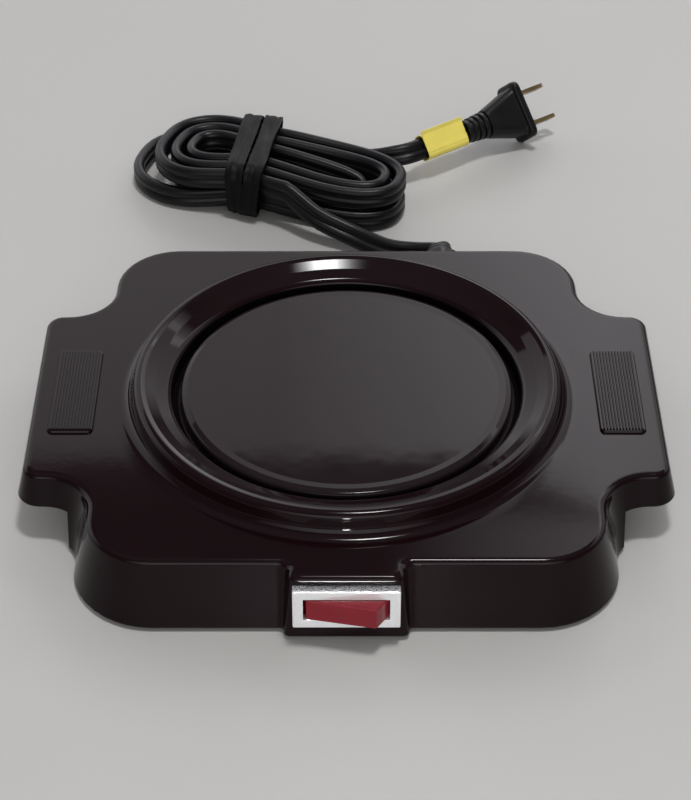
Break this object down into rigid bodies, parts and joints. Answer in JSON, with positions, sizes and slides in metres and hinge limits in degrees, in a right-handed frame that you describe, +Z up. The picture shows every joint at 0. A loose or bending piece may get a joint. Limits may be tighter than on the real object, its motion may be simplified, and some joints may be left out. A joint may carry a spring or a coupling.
{
  "type": "coffee pot warmer",
  "caption": "Low coffee pot warmer: drafted moulded base with lifting ears, stepped ring round an enamelled hot plate, lit rocker switch on a front boss, and a flat twin lead in a tied hank.",
  "frame": {"origin": "on the table, under the hot plate's axis, which is the middle of the warmer without its cord", "axes": "+X to the right across the two ears, +Y from the switch towards the cord, +Z up"},
  "size_m": [0.2058, 0.3012, 0.031],
  "materials": {
    "body_plastic": "glossy injection-moulded phenolic",
    "plate_enamel": "satin enamel on pressed steel",
    "gasket_fibre": "woven glass fibre",
    "element_sheath": "heat-toned steel sheath",
    "bead_ceramic": "matt ceramic",
    "pressed_steel": "pressed zinc-plated steel",
    "shield_sheet": "rolled sheet",
    "nut_steel": "zinc-plated",
    "base_sheet": "galvanised sheet",
    "screw_steel": "zinc-plated",
    "foot_rubber": "matt moulded rubber",
    "bezel_metal": "bright plated",
    "switch_plastic": "moulded nylon",
    "rocker_red": "translucent red polycarbonate",
    "plunger_brass": "turned",
    "contact_copper": "stamped copper alloy",
    "terminal_brass": "stamped",
    "lamp_glass": "clear neon glass",
    "connector_brass": "rolled strip",
    "crimp_metal": "tin-plated",
    "wire_black": "heat-proof sleeve",
    "wire_red": "heat-proof sleeve",
    "wire_white": "heat-proof sleeve",
    "relief_rubber": "satin moulded rubber",
    "cord_rubber": "satin extruded rubber",
    "tie_rubber": "matt band",
    "tag_paper": "matt blank wrap",
    "plug_rubber": "satin moulded rubber",
    "blade_brass": "stamped"
  },
  "bodies": {
    "housing": {"body_shell": "body_plastic", "hot_plate": "plate_enamel", "plate_gasket": "gasket_fibre", "heating_element": "element_sheath", "element_insulators": "bead_ceramic", "element_clamp": "pressed_steel", "heat_shield": "shield_sheet", "stud_nuts": "nut_steel", "base_plate": "base_sheet", "base_screws": "screw_steel", "rubber_feet": "foot_rubber", "switch_bezel": "bezel_metal", "switch_body": "switch_plastic", "switch_terminals": "terminal_brass", "pilot_lamp": "lamp_glass", "tab_connectors": "connector_brass", "crimp_terminals": "crimp_metal", "wire_line": "wire_black", "wire_switched": "wire_red", "wire_neutral": "wire_white", "strain_relief": "relief_rubber", "cord_lead": "cord_rubber", "cord_hank": "cord_rubber", "hank_tie": "tie_rubber", "cord_tail": "cord_rubber", "cord_tag": "tag_paper", "plug_body": "plug_rubber", "plug_blades": "blade_brass"},
    "rocker": {"rocker": "rocker_red", "plunger": "plunger_brass"},
    "contact": {"contact_arm": "contact_copper"}
  },
  "joints": [
    {"name": "rocker_tip", "type": "hinge", "parent": "housing", "child": "rocker", "pos_m": [0, -0.085, 0.0137], "axis": [0, 0, 1], "range_deg": [0, 22]},
    {"name": "contact_tip", "type": "hinge", "parent": "housing", "child": "contact", "pos_m": [0, -0.0748, 0.0137], "axis": [0, 0, 1], "range_deg": [-16, 0]}
  ],
  "couplings": [
    {"joint": "contact_tip", "follows": "rocker_tip", "ratio": -0.7272}
  ]
}
